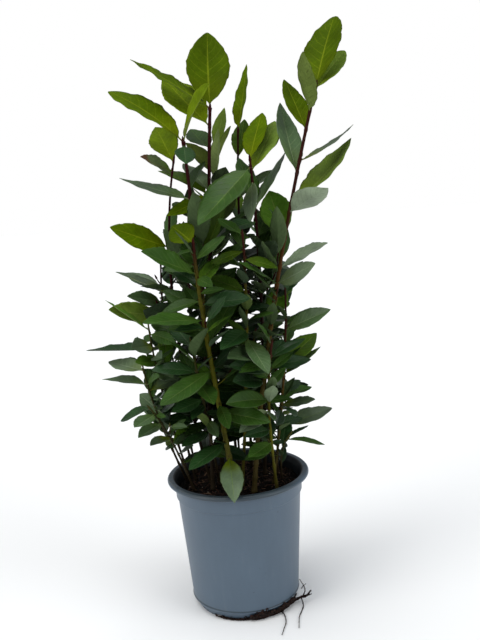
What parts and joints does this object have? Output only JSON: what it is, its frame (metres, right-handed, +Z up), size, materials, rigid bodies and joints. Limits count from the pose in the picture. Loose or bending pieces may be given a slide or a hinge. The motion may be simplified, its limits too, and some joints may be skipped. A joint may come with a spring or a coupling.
{
  "type": "potted bay laurel",
  "caption": "Young bay laurel shrub, a clump of slim leafy shoots, growing in a round tapered blue-grey plastic nursery pot.",
  "frame": {"origin": "centre of the pot's flat underside, on the surface that the plant stands on", "axes": "+Z up along the pot's axis towards the top of the plant; -Y towards the side that the plant is mainly seen from, +X to that side's right"},
  "size_m": [0.3581, 0.234, 0.7275],
  "materials": {
    "pot": "satin",
    "compost": "matte",
    "roots": "matte",
    "bark": "matte",
    "leaves": "satin",
    "young_leaves": "satin"
  },
  "bodies": {
    "root": {"compost": "compost", "pot": "pot", "roots": "roots", "shoot_back_left": "leaves", "shoot_back_right": "leaves", "shoot_front": "leaves", "shoot_front_low": "leaves", "shoot_front_middle": "leaves", "shoot_front_right_low": "leaves", "shoot_left": "young_leaves", "shoot_low_back_left": "leaves", "shoot_low_back_right": "leaves", "shoot_low_left": "leaves", "shoot_low_right": "leaves", "shoot_lower_back": "leaves", "shoot_lower_left": "leaves", "shoot_lower_right": "leaves", "shoot_middle_back": "young_leaves", "shoot_middle_left": "young_leaves", "shoot_middle_right": "young_leaves", "shoot_outer_left": "leaves", "shoot_right": "young_leaves", "shoot_skirt_left": "leaves", "shoot_skirt_right": "leaves", "shoot_tallest_left": "young_leaves", "shoot_tallest_right": "young_leaves", "stem_back_left": "bark", "stem_back_right": "bark", "stem_front": "bark", "stem_front_low": "bark", "stem_front_middle": "bark", "stem_front_right_low": "bark", "stem_left": "bark", "stem_low_back_left": "bark", "stem_low_back_right": "bark", "stem_low_left": "bark", "stem_low_right": "bark", "stem_lower_back": "bark", "stem_lower_left": "bark", "stem_lower_right": "bark", "stem_middle_back": "bark", "stem_middle_left": "bark", "stem_middle_right": "bark", "stem_outer_left": "bark", "stem_right": "bark", "stem_skirt_left": "bark", "stem_skirt_right": "bark", "stem_tallest_left": "bark", "stem_tallest_right": "bark"}
  },
  "joints": []
}
